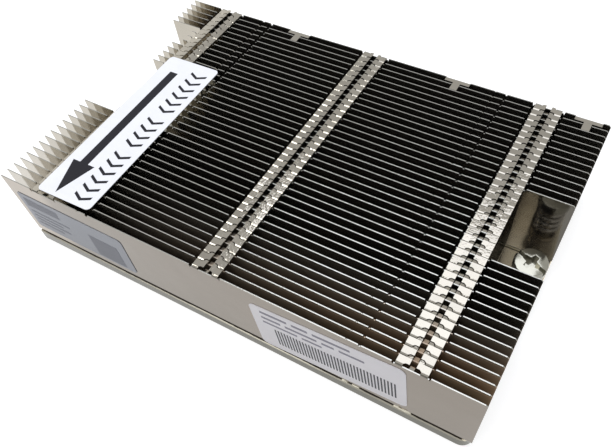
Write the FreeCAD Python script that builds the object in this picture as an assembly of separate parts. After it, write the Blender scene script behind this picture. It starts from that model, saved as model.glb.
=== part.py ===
import FreeCAD, Part

import math
import os

# Passive heatsink for a one-unit server, in millimetres.
# A flat nickel-plated base carries a block of thin folded fins that run along X.
# Each fin hooks into the next one through three rows of folded tabs, called zippers here.
# Two captive spring screws stand in notches of the fin block, one at each end.
# The origin is on the underside of the base, midway between the two screws. +Z is up.

# Fin block
block_length = 127.0
fin_count = 38
fin_pitch = 2.19
sheet = 0.40
fin_height = 21.50

# Base plate and the solder under the fins
base_thickness = 3.30
base_lip = 0.35
base_right_radius = 3.00
base_left_radius = 0.60
base_edge_chamfer = 0.25
solder_thickness = 0.25
solder_inset = 0.95

# Zipper rows: middle of each row, from the left end, the middle and the right end of the block
zip_left_inset = 14.0
zip_middle_shift = -1.00
zip_right_inset = 15.5
zip_width = 7.00
root_width = 1.75
hook_reach = 0.55
hook_gap = 1.20
window_depth = 0.95
relief_width = 0.70
relief_depth = 0.55
zip_clearance = 0.06

# Locking tabs of the rearmost fin, which fold forwards over the two fins before it
lock_left_inset = 38.3
lock_middle_shift = 23.7
lock_right_inset = 5.30
lock_tab_width = 6.80
lock_tab_length = 1.55
lock_stem_width = 2.00
lock_slot_clearance = 0.10
lock_slot_depth = 0.50

# Screws
screw_to_left_end = 18.1
screw_to_right_end = 4.10
screw_fin_index = 19
notch_fin_count = 9
head_radius = 4.00
head_thickness = 2.60
head_chamfer = 0.30
head_over_base = 11.65
drive_slot_width = 1.00
drive_slot_depth = 0.90
drive_cross_width = 1.25
drive_cross_length = 4.40
drive_cross_depth = 1.60
drive_angle = -23.0
shank_radius = 2.00
shank_clearance = 0.08
tip_above_floor = 0.30

# Springs
spring_wire = 1.00
spring_radius = 3.15
spring_turns = 4.25
spring_chords_per_turn = 12
spring_sides = 6
spring_seat_gap = 0.02

# Retaining rings, snapped into a groove of each screw inside a pocket under the base
web_thickness = 1.50
pocket_wall = 0.50
ring_thickness = 0.55
ring_side_play = 0.40
ring_play = 0.03
groove_radius = 1.55
ring_bore_clearance = 0.05
ring_mouth = 2.70

# Fins that are cut back at the left end, to clear parts beside the socket
rear_full_fins = 6
deep_cut_fins = 3
deep_cut = 8.70
shallow_cut = 6.30

# Labels
label_thickness = 0.12
ink_thickness = 0.03
arrow_label_width = 16.4
arrow_label_height = 55.0
arrow_label_x = 19.3
arrow_label_y = 28.6
arrow_label_turn = 1.2
arrow_label_corner = 1.20
arrow_shaft_width = 2.50
arrow_head_width = 6.80
arrow_head_length = 10.4
arrow_length = 48.2
arrow_shift_x = -3.10
arrow_tip_margin = 1.10
foil_label_width = 34.4
foil_label_height = 16.2
foil_label_x = 19.1
foil_label_rise = 8.80
foil_label_corner = 0.80
bar_label_width = 37.6
bar_label_height = 17.35
bar_label_inset = 34.5
bar_label_rise = 9.73
bar_label_turn = 4.1
bar_label_corner = 1.60

# Places worked out from the sizes above
block_depth = (fin_count - 1) * fin_pitch + sheet
screw_spacing = block_length - screw_to_left_end - screw_to_right_end
right_end = screw_spacing / 2 + screw_to_right_end
left_end = right_end - block_length
middle = (left_end + right_end) / 2
front = -(screw_fin_index * fin_pitch + sheet / 2)
fin_foot_z = base_thickness + solder_thickness
fin_top_z = fin_foot_z + fin_height
zip_centres = (left_end + zip_left_inset, middle + zip_middle_shift, right_end - zip_right_inset)
lock_centres = (left_end + lock_left_inset, middle + lock_middle_shift, right_end - lock_right_inset)
screw_places = {"left": -screw_spacing / 2, "right": screw_spacing / 2}
notch_right_x = zip_centres[2] + zip_width / 2
notch_left_x = -screw_spacing / 2 + (screw_places["right"] - notch_right_x)
first_notch_fin = screw_fin_index - (notch_fin_count - 1) // 2
last_notch_fin = first_notch_fin + notch_fin_count - 1
head_top_z = base_thickness + head_over_base
head_foot_z = head_top_z - head_thickness
web_foot_z = base_thickness - web_thickness
ring_top_z = web_foot_z - ring_play
ring_foot_z = ring_top_z - ring_thickness
pocket_radius = screw_to_right_end - pocket_wall
ring_radius = pocket_radius - ring_side_play

UP = FreeCAD.Vector(0, 0, 1)


def box(x0, x1, y0, y1, z0, z1):
    """A plain block between two corners."""
    return Part.makeBox(x1 - x0, y1 - y0, z1 - z0, FreeCAD.Vector(x0, y0, z0))


def plan_prism(points, z0, z1):
    """A prism with a straight-sided outline in plan, between two heights."""
    corners = [FreeCAD.Vector(x, y, z0) for x, y in points]
    face = Part.Face(Part.makePolygon(corners + corners[:1]))
    return face.extrude(FreeCAD.Vector(0, 0, z1 - z0))


def rounded_plate(width, height, thickness, radius):
    """A flat plate centred on the origin, lying in XY, with rounded corners."""
    plate = box(-width / 2, width / 2, -height / 2, height / 2, 0, thickness)
    upright = [e for e in plate.Edges if abs(e.Vertexes[0].Z - e.Vertexes[1].Z) > thickness / 2]
    return plate.makeFillet(radius, upright)


def base_blank(inset, z0, z1):
    """The plan of the base as a block, set in from its edges, with its own radius at each end."""
    low_y = front - base_lip + inset
    high_y = front + block_depth + base_lip - inset
    blank = box(left_end + inset, right_end - inset, low_y, high_y, z0, z1)
    for x, radius in ((left_end, base_left_radius), (right_end, base_right_radius)):
        upright = [e for e in blank.Edges if e.BoundBox.ZLength > e.BoundBox.DiagonalLength / 2
                   and abs(e.BoundBox.XMin - x) < 2 * inset + sheet]
        blank = blank.makeFillet(radius, upright)
    return blank


def fin_span(index):
    """Left and right end of a fin, after the notches and the cut-back corner."""
    first_rear_fin = fin_count - rear_full_fins
    if first_notch_fin <= index <= last_notch_fin:
        return notch_left_x, notch_right_x
    if first_rear_fin - deep_cut_fins <= index < first_rear_fin:
        return left_end + deep_cut, right_end
    if last_notch_fin < index < first_rear_fin:
        return left_end + shallow_cut, right_end
    return left_end, right_end


def has_zipper(centre, span):
    """True where the whole width of a zipper row lies on the fin."""
    return span[0] <= centre - zip_width / 2 and centre + zip_width / 2 <= span[1]


def dip(x0, x1, depth):
    """Four outline points of a square-cornered dip in the top edge."""
    return [(x0, fin_top_z), (x0, fin_top_z - depth), (x1, fin_top_z - depth), (x1, fin_top_z)]


def zipper_dips(centre, span):
    """Bend relief, window and bend relief of one zipper row, from left to right."""
    half = zip_width / 2
    window_half = half - root_width
    points = []
    if centre - half - relief_width > span[0]:
        points += dip(centre - half - relief_width, centre - half, relief_depth)
    points += dip(centre - window_half, centre + window_half, window_depth)
    if centre + half + relief_width < span[1]:
        points += dip(centre + half, centre + half + relief_width, relief_depth)
    return points


def fin_wall(index):
    """The upright sheet of a fin with every dip in its top edge."""
    span = fin_span(index)
    dips = [(c, zipper_dips(c, span)) for c in zip_centres if has_zipper(c, span)]
    if index == fin_count - 2:
        half = lock_stem_width / 2 + lock_slot_clearance
        dips += [(x, dip(x - half, x + half, lock_slot_depth)) for x in lock_centres]
    outline = [(span[0], fin_foot_z), (span[0], fin_top_z)]
    for _, points in sorted(dips):
        outline += points
    outline += [(span[1], fin_top_z), (span[1], fin_foot_z)]
    y = front + index * fin_pitch
    corners = [FreeCAD.Vector(x, y, z) for x, z in outline]
    face = Part.Face(Part.makePolygon(corners + corners[:1]))
    return face.extrude(FreeCAD.Vector(0, sheet, 0))


def zipper_tab(centre, side, y):
    """One folded tab: its rear edge steps back to a hook that passes the window of the next fin."""
    outer = zip_width / 2
    root = outer - root_width
    inner = hook_gap / 2
    rear = y + fin_pitch - zip_clearance
    points = [
        (outer, y),
        (root, y),
        (inner, y + hook_reach),
        (inner, rear + hook_reach),
        (root, rear),
        (outer, rear),
    ]
    placed = [(centre + side * across, along) for across, along in points]
    return plan_prism(placed, fin_top_z - sheet, fin_top_z)


def zipper_fin(index):
    """A fin with its foot and its tabs folded towards the fin behind it."""
    span = fin_span(index)
    y = front + index * fin_pitch
    rear = y + fin_pitch - zip_clearance
    foot = box(span[0], span[1], y, rear, fin_foot_z, fin_foot_z + sheet)
    folds = [foot]
    for centre in zip_centres:
        if has_zipper(centre, span):
            folds += [zipper_tab(centre, side, y) for side in (-1, 1)]
    return fin_wall(index).fuse(folds).removeSplitter()


def rear_fin():
    """The last fin: no foot, and three T-shaped tabs folded forwards to lock the row."""
    index = fin_count - 1
    y = front + index * fin_pitch
    stem_end = y - 2 * fin_pitch + sheet + zip_clearance
    folds = []
    for x in lock_centres:
        half = lock_tab_width / 2
        stem = lock_stem_width / 2
        bar_end = y + sheet - lock_tab_length
        folds.append(box(x - half, x + half, bar_end, y + sheet, fin_top_z - sheet, fin_top_z))
        folds.append(box(x - stem, x + stem, stem_end, y + sheet, fin_top_z - sheet, fin_top_z))
    return fin_wall(index).fuse(folds).removeSplitter()


def base_plate():
    """The flat base, a lip deeper than the fins at front and rear, with a pocket under each screw hole."""
    plate = base_blank(0, 0, base_thickness)
    upper = [e for e in plate.Edges if e.BoundBox.ZMin > base_thickness / 2]
    plate = plate.makeChamfer(base_edge_chamfer, upper)
    for x in screw_places.values():
        hole = Part.makeCylinder(shank_radius + shank_clearance, base_thickness, FreeCAD.Vector(x, 0, 0))
        pocket = Part.makeCylinder(pocket_radius, web_foot_z, FreeCAD.Vector(x, 0, 0))
        plate = plate.cut(hole).cut(pocket)
    return plate


def solder_layer():
    """The thin solder film between the fin feet and the base, set back from the edges."""
    film = base_blank(solder_inset, base_thickness, fin_foot_z)
    rear_side = front + (last_notch_fin + 1) * fin_pitch
    front_side = front + first_notch_fin * fin_pitch
    over = solder_thickness
    z0 = base_thickness - over
    z1 = fin_foot_z + over
    clearings = [
        box(left_end, notch_left_x, front_side, rear_side, z0, z1),
        box(notch_right_x, right_end, front_side, rear_side, z0, z1),
    ]
    rear_full_y = front + (fin_count - rear_full_fins) * fin_pitch
    deep_y = rear_full_y - deep_cut_fins * fin_pitch
    clearings.append(box(left_end, left_end + deep_cut, deep_y, rear_full_y, z0, z1))
    clearings.append(box(left_end, left_end + shallow_cut, rear_side, deep_y, z0, z1))
    return film.cut(clearings)


def screw(x):
    """A captive screw: slotted cross head, plain shank and ring groove."""
    profile = [
        (0, tip_above_floor),
        (shank_radius, tip_above_floor),
        (shank_radius, ring_foot_z - ring_play),
        (groove_radius, ring_foot_z - ring_play),
        (groove_radius, ring_top_z + ring_play),
        (shank_radius, ring_top_z + ring_play),
        (shank_radius, head_foot_z),
        (head_radius, head_foot_z),
        (head_radius, head_top_z - head_chamfer),
        (head_radius - head_chamfer, head_top_z),
        (0, head_top_z),
    ]
    corners = [FreeCAD.Vector(r, 0, z) for r, z in profile]
    body = Part.Face(Part.makePolygon(corners + corners[:1])).revolve(FreeCAD.Vector(0, 0, 0), UP, 360)
    slot = box(-head_radius, head_radius, -drive_slot_width / 2, drive_slot_width / 2,
               head_top_z - drive_slot_depth, head_top_z)
    half = drive_cross_length / 2
    side = drive_cross_width / 2
    cross_foot = head_top_z - drive_cross_depth
    cross_x = box(-half, half, -side, side, cross_foot, head_top_z)
    cross_y = box(-side, side, -half, half, cross_foot, head_top_z)
    body = body.cut([slot, cross_x, cross_y])
    body.rotate(FreeCAD.Vector(0, 0, 0), UP, drive_angle)
    body.translate(FreeCAD.Vector(x, 0, 0))
    return body


def coil_point(angle, rise_per_turn):
    """A point of the coil's middle line."""
    height = rise_per_turn * angle / (2 * math.pi)
    return FreeCAD.Vector(spring_radius * math.cos(angle), spring_radius * math.sin(angle), height)


def spring(x):
    """A coil spring between the base and the screw head, with its end turns ground flat."""
    low = base_thickness + spring_seat_gap
    high = head_foot_z - spring_seat_gap
    rise_per_turn = (high - low - spring_wire / 2) / spring_turns
    chord_angle = 2 * math.pi / spring_chords_per_turn
    chord_count = round(spring_turns * spring_chords_per_turn)
    path = Part.makePolygon([coil_point(i * chord_angle, rise_per_turn) for i in range(chord_count + 1)])
    start = coil_point(0, rise_per_turn)
    heading = coil_point(chord_angle, rise_per_turn) - start
    across = heading.cross(UP).normalize()
    upward = across.cross(heading).normalize()
    corners = []
    for i in range(spring_sides):
        turn = 2 * math.pi * i / spring_sides
        corners.append(start + (across * math.cos(turn) + upward * math.sin(turn)) * (spring_wire / 2))
    section = Part.makePolygon(corners + corners[:1])
    coil = Part.Wire(path).makePipeShell([section], True, False, 1)
    coil.translate(FreeCAD.Vector(x, 0, low + spring_wire / 4))
    reach = spring_radius + spring_wire
    return coil.common(box(x - reach, x + reach, -reach, reach, low, high))


def retaining_ring(x):
    """An open ring that snaps sideways into the groove of the screw."""
    centre = FreeCAD.Vector(x, 0, ring_foot_z)
    disc = Part.makeCylinder(ring_radius, ring_thickness, centre)
    bore = Part.makeCylinder(groove_radius + ring_bore_clearance, ring_thickness, centre)
    mouth = box(x - ring_mouth / 2, x + ring_mouth / 2, -ring_radius, 0, ring_foot_z, ring_top_z)
    return disc.cut([bore, mouth])


def arrow_label():
    """The paper label that lies on the fins and bridges the left notch."""
    label = rounded_plate(arrow_label_width, arrow_label_height, label_thickness, arrow_label_corner)
    return place_on_top(label, fin_top_z)


def arrow_mark():
    """The printed arrow of the label, pointing to the front."""
    tip = arrow_tip_margin - arrow_label_height / 2
    neck = tip + arrow_head_length
    tail = tip + arrow_length
    shaft = arrow_shaft_width / 2
    wing = arrow_head_width / 2
    right_side = [(0, tip), (wing, neck), (shaft, neck), (shaft, tail)]
    left_side = [(-x, y) for x, y in reversed(right_side[1:])]
    outline = [(arrow_shift_x + x, y) for x, y in right_side + left_side]
    mark = plan_prism(outline, 0, ink_thickness)
    return place_on_top(mark, fin_top_z + label_thickness)


def place_on_top(piece, z):
    """Turn a flat piece with the arrow label and set it down at a height."""
    piece.rotate(FreeCAD.Vector(0, 0, 0), UP, arrow_label_turn)
    piece.translate(FreeCAD.Vector(left_end + arrow_label_x, front + arrow_label_y, z))
    return piece


def front_label(width, height, corner, x, rise, turn):
    """A label upright on the front fin, turned in its own plane, its middle risen above the fin's foot."""
    label = rounded_plate(width, height, label_thickness, corner)
    label.rotate(FreeCAD.Vector(0, 0, 0), UP, turn)
    label.rotate(FreeCAD.Vector(0, 0, 0), FreeCAD.Vector(1, 0, 0), 90)
    label.translate(FreeCAD.Vector(x, front, fin_foot_z + rise))
    return label


def foil_label():
    """The silvery label at the left of the front fin."""
    x = left_end + foil_label_x
    return front_label(foil_label_width, foil_label_height, foil_label_corner, x, foil_label_rise, 0)


def bar_label():
    """The pale label with bars, stuck slightly askew on the front fin."""
    x = right_end - bar_label_inset
    return front_label(bar_label_width, bar_label_height, bar_label_corner, x, bar_label_rise, bar_label_turn)


def build():
    """All pieces by name."""
    pieces = {"base_plate": base_plate(), "solder_layer": solder_layer()}
    for index in range(fin_count - 1):
        pieces[f"fin_{index + 1:02d}"] = zipper_fin(index)
    pieces["rear_fin"] = rear_fin()
    for side, x in screw_places.items():
        pieces[f"screw_{side}"] = screw(x)
        pieces[f"spring_{side}"] = spring(x)
        pieces[f"retaining_ring_{side}"] = retaining_ring(x)
    pieces["arrow_label"] = arrow_label()
    pieces["arrow_mark"] = arrow_mark()
    pieces["foil_label"] = foil_label()
    pieces["bar_label"] = bar_label()
    return pieces


os.makedirs("parts", exist_ok=True)
for name, shape in build().items():
    shape.exportStep(f"parts/{name}.step")
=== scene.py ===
import logging
import math
import random
from dataclasses import dataclass, field
from enum import Enum
from typing import Iterable, Mapping, Sequence

import bmesh
import bpy
from mathutils import Matrix, Vector


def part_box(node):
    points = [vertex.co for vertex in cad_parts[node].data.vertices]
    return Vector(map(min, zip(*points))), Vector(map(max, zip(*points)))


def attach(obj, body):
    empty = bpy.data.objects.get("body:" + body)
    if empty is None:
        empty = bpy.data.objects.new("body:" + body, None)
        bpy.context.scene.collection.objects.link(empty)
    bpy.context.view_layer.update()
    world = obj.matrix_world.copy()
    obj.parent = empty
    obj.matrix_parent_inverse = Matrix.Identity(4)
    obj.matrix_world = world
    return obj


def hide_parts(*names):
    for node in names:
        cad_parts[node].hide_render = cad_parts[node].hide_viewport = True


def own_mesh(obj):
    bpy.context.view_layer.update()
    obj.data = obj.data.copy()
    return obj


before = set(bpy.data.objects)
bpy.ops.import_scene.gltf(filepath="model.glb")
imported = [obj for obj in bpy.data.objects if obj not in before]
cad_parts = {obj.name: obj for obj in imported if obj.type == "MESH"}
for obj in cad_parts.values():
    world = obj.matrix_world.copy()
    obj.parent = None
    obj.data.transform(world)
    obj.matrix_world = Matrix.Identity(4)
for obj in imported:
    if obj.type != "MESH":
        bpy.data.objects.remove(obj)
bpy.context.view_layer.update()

log = logging.getLogger("heatsink")

MM = 0.001
Point2 = tuple[float, float]
Point3 = tuple[float, float, float]
Colour = tuple[float, float, float]
Socket = bpy.types.NodeSocket
WHITE = (1.0, 1.0, 1.0)
DARK_STOP, LIGHT_STOP = 0.30, 0.70


def limits(node: str) -> tuple[Vector, Vector]:
    """Lowest and highest corner of a CAD node, in millimetres."""
    low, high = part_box(node)
    return low / MM, high / MM


# Places and sizes in millimetres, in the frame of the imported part
BLOCK_LEFT, BLOCK_FRONT, FOOT_Z = limits("fin_01")[0]
BLOCK_RIGHT, _, TOP_Z = limits("fin_01")[1]
BASE_FRONT = limits("base_plate")[0].y
BASE_REAR = limits("base_plate")[1].y
BASE_TOP_Z = limits("base_plate")[1].z
SCREW_X = (limits("screw_right")[0].x + limits("screw_right")[1].x) / 2
FIN_COUNT = 38
PITCH = 2.19
SHEET = 0.25
BEHIND_NOTCH = 24
EDGE_ZONE = 0.30
ZIP_CENTRES = (BLOCK_LEFT + 14.12, BLOCK_LEFT + 62.62, BLOCK_RIGHT - 15.45)
LOCK_CENTRES = (BLOCK_LEFT + 38.3, BLOCK_LEFT + 87.2, BLOCK_RIGHT - 5.3)


class FinKind(Enum):
    """The cut of a fin at its two ends."""

    FULL = (BLOCK_LEFT, BLOCK_RIGHT)
    NOTCHED = (-44.5, 44.5)
    SHALLOW_CUT = (BLOCK_LEFT + 6.3, BLOCK_RIGHT)
    DEEP_CUT = (BLOCK_LEFT + 8.7, BLOCK_RIGHT)


class Side(Enum):
    """The two screws, with the sign of their place along X."""

    LEFT = -1
    RIGHT = 1

    @property
    def word(self) -> str:
        """The side as it is written in the names of nodes and joints."""
        return self.name.lower()

    @property
    def x(self) -> float:
        """Where the screw stands along X, in millimetres."""
        return self.value * SCREW_X


# Mesh helpers


class FaceKind(Enum):
    """What a face of folded sheet is, as it is stored on the mesh."""

    PLAIN = 0.0
    SHEARED = 1.0
    CREASE = 2.0


class Shells:
    """Collects closed shells, given in millimetres, and turns them into one object."""

    def __init__(self) -> None:
        """Starts with no shells."""
        self.points: list[Point3] = []
        self.faces: list[tuple[int, ...]] = []
        self.kinds: list[float] = []

    def prism(self, outline: Sequence[Point2], axis: str, low: float, high: float,
              sheared: bool = False, creased: int = 0) -> None:
        """Adds a straight prism.

        Args:
            outline: Corners of the section in the plane across the axis, in the order XZ, YZ or XY.
            axis: The letter of the axis that the prism runs along.
            low: Where it starts along that axis.
            high: Where it ends.
            sheared: True where its level sides are the bright sheared edges of a sheet.
            creased: How many of its first sides are the outside of a crease, which the fins' material darkens
                with painted shade.
        """
        place = {
            "X": lambda a, b, t: (t, a, b),
            "Y": lambda a, b, t: (a, t, b),
            "Z": lambda a, b, t: (a, b, t),
        }[axis]
        first = len(self.points)
        count = len(outline)
        self.points += [place(a, b, low) for a, b in outline]
        self.points += [place(a, b, high) for a, b in outline]
        near = tuple(range(first, first + count))
        self.faces.append(near)
        self.faces.append(tuple(i + count for i in reversed(near)))
        for i in range(count):
            j = (i + 1) % count
            self.faces.append((near[j], near[i], near[i] + count, near[j] + count))
        self.kinds += [FaceKind.PLAIN.value, FaceKind.PLAIN.value]
        for number, ((a, b), (c, d)) in enumerate(zip(outline, [*outline[1:], outline[0]])):
            if number < creased:
                self.kinds.append(FaceKind.CREASE.value)
            else:
                level = sheared and abs(c - a) >= abs(d - b)
                self.kinds.append(FaceKind.SHEARED.value if level else FaceKind.PLAIN.value)

    def slope_down(self, first: int, hinge: float, fall: float) -> None:
        """Tips a shell down towards the rear.

        Args:
            first: Number of the shell's first point.
            hinge: Depth where the slope starts.
            fall: Drop for each millimetre behind that.
        """
        for number in range(first, len(self.points)):
            x, y, z = self.points[number]
            self.points[number] = (x, y, z - max(y - hinge, 0.0) * fall)

    def lathe(self, profile: Sequence[Point2], centre: Point2, steps: int) -> None:
        """Adds a turned shape whose profile starts and ends on the axis.

        Args:
            profile: Radius and height of each corner, from bottom to top.
            centre: Place of the axis in plan.
            steps: Number of sides of the turned shape.
        """
        first = len(self.points)
        inner = profile[1:-1]
        self.points.append((centre[0], centre[1], profile[0][1]))
        for radius, height in inner:
            for k in range(steps):
                turn = 2 * math.pi * k / steps
                self.points.append(
                    (centre[0] + radius * math.cos(turn), centre[1] + radius * math.sin(turn), height))
        self.points.append((centre[0], centre[1], profile[-1][1]))
        last = len(self.points) - 1
        for k in range(steps):
            n = (k + 1) % steps
            self.faces.append((first, first + 1 + n, first + 1 + k))
            for row in range(len(inner) - 1):
                a = first + 1 + row * steps
                self.faces.append((a + k, a + n, a + steps + n, a + steps + k))
            a = first + 1 + (len(inner) - 1) * steps
            self.faces.append((a + k, a + n, last))

    def object(self, name: str, sharp_degrees: float = 32.0) -> bpy.types.Object:
        """Makes the mesh object.

        Args:
            name: Name of the piece.
            sharp_degrees: Edges that turn by more than this stay sharp.

        Returns:
            The object, at the origin, with faces that point outwards.
        """
        mesh = bpy.data.meshes.new(name)
        mesh.from_pydata([tuple(c * MM for c in p) for p in self.points], [], self.faces)
        if any(self.kinds):
            marks = mesh.attributes.new("face_kind", "FLOAT", "FACE")
            marks.data.foreach_set("value", self.kinds)
        return finished(name, mesh, sharp_degrees)


def finished(name: str, mesh: bpy.types.Mesh, sharp_degrees: float = 32.0) -> bpy.types.Object:
    """Turns the faces outwards, smooths the bends and links the object.

    Args:
        name: Name of the piece.
        mesh: Its mesh, in metres.
        sharp_degrees: Edges that turn by more than this stay sharp.

    Returns:
        The linked object.
    """
    work = bmesh.new()
    work.from_mesh(mesh)
    bmesh.ops.recalc_face_normals(work, faces=work.faces)
    work.to_mesh(mesh)
    work.free()
    mesh.name = name
    obj = bpy.data.objects.new(name, mesh)
    bpy.context.scene.collection.objects.link(obj)
    smooth_bends(mesh, sharp_degrees)
    return obj


def smooth_bends(mesh: bpy.types.Mesh, sharp_degrees: float) -> None:
    """Shades a mesh smooth except across its sharp edges."""
    mesh.shade_smooth()
    mesh.set_sharp_from_angle(angle=math.radians(sharp_degrees))


def plan_outline(low: Point2, high: Point2, left_radius: float, right_radius: float,
                 steps: int = 10) -> list[Point2]:
    """Corners of a rectangle with one radius for its left end and one for its right, counter-clockwise.

    Args:
        low: Left front corner.
        high: Right rear corner.
        left_radius: Radius of the two left corners.
        right_radius: Radius of the two right corners.
        steps: Number of chords in each corner.

    Returns:
        The outline.
    """
    corners = (((high[0] - right_radius, high[1] - right_radius), right_radius),
               ((low[0] + left_radius, high[1] - left_radius), left_radius),
               ((low[0] + left_radius, low[1] + left_radius), left_radius),
               ((high[0] - right_radius, low[1] + right_radius), right_radius))
    points: list[Point2] = []
    for quarter, (centre, radius) in enumerate(corners):
        points += arc(centre, radius, 90.0 * quarter, 90.0 * (quarter + 1), steps)
    return points


def ring(radius: float, centre: Point2, steps: int = 48) -> list[Point2]:
    """Corners of a circle."""
    turns = [2 * math.pi * k / steps for k in range(steps)]
    return [(centre[0] + radius * math.cos(t), centre[1] + radius * math.sin(t)) for t in turns]


def arc(centre: Point2, radius: float, start: float, end: float, steps: int) -> list[Point2]:
    """Points of an arc between two angles in degrees, ends included."""
    turns = [math.radians(start + (end - start) * k / steps) for k in range(steps + 1)]
    return [(centre[0] + radius * math.cos(t), centre[1] + radius * math.sin(t)) for t in turns]


def turned(points: Iterable[Point2], degrees: float, centre: Point2 = (0.0, 0.0)) -> list[Point2]:
    """Turns points about the origin and then moves them to a centre."""
    turn = Matrix.Rotation(math.radians(degrees), 2)
    spots = [turn @ Vector(p) for p in points]
    return [(centre[0] + p.x, centre[1] + p.y) for p in spots]


def dress(obj: bpy.types.Object, material: bpy.types.Material) -> None:
    """Gives a piece or a node one material."""
    obj.data.materials.clear()
    obj.data.materials.append(material)


def settle(obj: bpy.types.Object, sharp_degrees: float | None = 32.0) -> bpy.types.Object:
    """Turns what the modifiers make into a plain mesh and removes them.

    Args:
        obj: The object with its modifiers set.
        sharp_degrees: Edges that turn by more than this stay sharp, or None to leave the shading.

    Returns:
        The same object.
    """
    bpy.context.view_layer.update()
    evaluated = obj.evaluated_get(bpy.context.evaluated_depsgraph_get())
    mesh = bpy.data.meshes.new_from_object(evaluated)
    obj.modifiers.clear()
    obj.data = mesh
    mesh.name = obj.name
    if sharp_degrees is not None:
        smooth_bends(mesh, sharp_degrees)
    return obj


# Node helpers


class Nodes:
    """Adds and links nodes of one tree in few words."""

    def __init__(self, tree: bpy.types.NodeTree) -> None:
        """Starts from a tree, which may already hold nodes."""
        self.tree = tree

    def add(self, kind: str, inputs: dict | None = None, **settings: object) -> bpy.types.Node:
        """Adds a node.

        Args:
            kind: The node's type name.
            inputs: Values or sockets for its inputs, by name or number.
            **settings: Attributes of the node.

        Returns:
            The node.
        """
        node = self.tree.nodes.new(kind)
        for key, value in settings.items():
            setattr(node, key, value)
        for key, value in (inputs or {}).items():
            if isinstance(value, Socket):
                self.tree.links.new(value, node.inputs[key])
            else:
                node.inputs[key].default_value = value
        return node

    def math(self, operation: str, *values: Socket | float) -> Socket:
        """Adds a Math node on numbers or sockets and returns its result."""
        return self.add("ShaderNodeMath", dict(enumerate(values)), operation=operation).outputs[0]

    def axes(self, vector: Socket) -> Sequence[Socket]:
        """Splits a vector into its three parts."""
        return self.add("ShaderNodeSeparateXYZ", {0: vector}).outputs

    def vector(self, x: Socket | float = 0.0, y: Socket | float = 0.0, z: Socket | float = 0.0) -> Socket:
        """Joins three parts to a vector."""
        return self.add("ShaderNodeCombineXYZ", {0: x, 1: y, 2: z}).outputs[0]

    def noise(self, place: Socket, scale: float, detail: float) -> Socket:
        """Adds a noise with so many features in a metre."""
        return self.add("ShaderNodeTexNoise", {"Vector": place, "Scale": scale, "Detail": detail}).outputs[0]

    def ramp(self, factor: Socket, stops: Sequence[tuple[float, Colour]]) -> Socket:
        """Adds a colour ramp with the given stops and returns its colour.

        Args:
            factor: Where on the ramp each point lies.
            stops: Place and colour of each stop.

        Returns:
            The ramp's colour.
        """
        node = self.add("ShaderNodeValToRGB", {0: factor})
        elements = node.color_ramp.elements
        while len(elements) < len(stops):
            elements.new(0.5)
        for element, (place, colour) in zip(elements, stops):
            element.position = place
            element.color = (*colour, 1.0)
        return node.outputs[0]

    def between(self, value: Socket, start: Socket | float = 0.0, end: Socket | float = 1.0,
                low: float = 0.0, high: float = 1.0, **settings: object) -> Socket:
        """Maps the span from start to end to the span from low to high and holds it at both ends."""
        inputs = {0: value, 1: start, 2: end, 3: low, 4: high}
        return self.add("ShaderNodeMapRange", inputs, **settings).outputs[0]

    def blend(self, share: Socket, tone: Socket | Colour, colour: Colour) -> Socket:
        """Mixes a share of a plain colour into a tone."""
        start = tone if isinstance(tone, Socket) else (*tone, 1.0)
        return self.add("ShaderNodeMix", {0: share, 6: start, 7: (*colour, 1.0)}, data_type="RGBA").outputs[2]

    def scaled(self, tone: Socket, factor: Socket) -> Socket:
        """Makes a tone lighter or darker by a factor."""
        return self.add("ShaderNodeVectorMath", {0: tone, "Scale": factor}, operation="SCALE").outputs[0]


def shader(name: str) -> tuple[bpy.types.Material, Nodes, bpy.types.Node]:
    """Starts a node material.

    Args:
        name: Name of the finish.

    Returns:
        The material, its nodes and its Principled shader.
    """
    material = bpy.data.materials.new(name)
    material.use_nodes = True
    material.node_tree.nodes.clear()
    nodes = Nodes(material.node_tree)
    surface = nodes.add("ShaderNodeBsdfPrincipled")
    nodes.add("ShaderNodeOutputMaterial", {0: surface.outputs[0]})
    return material, nodes, surface


# Finishes


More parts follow.
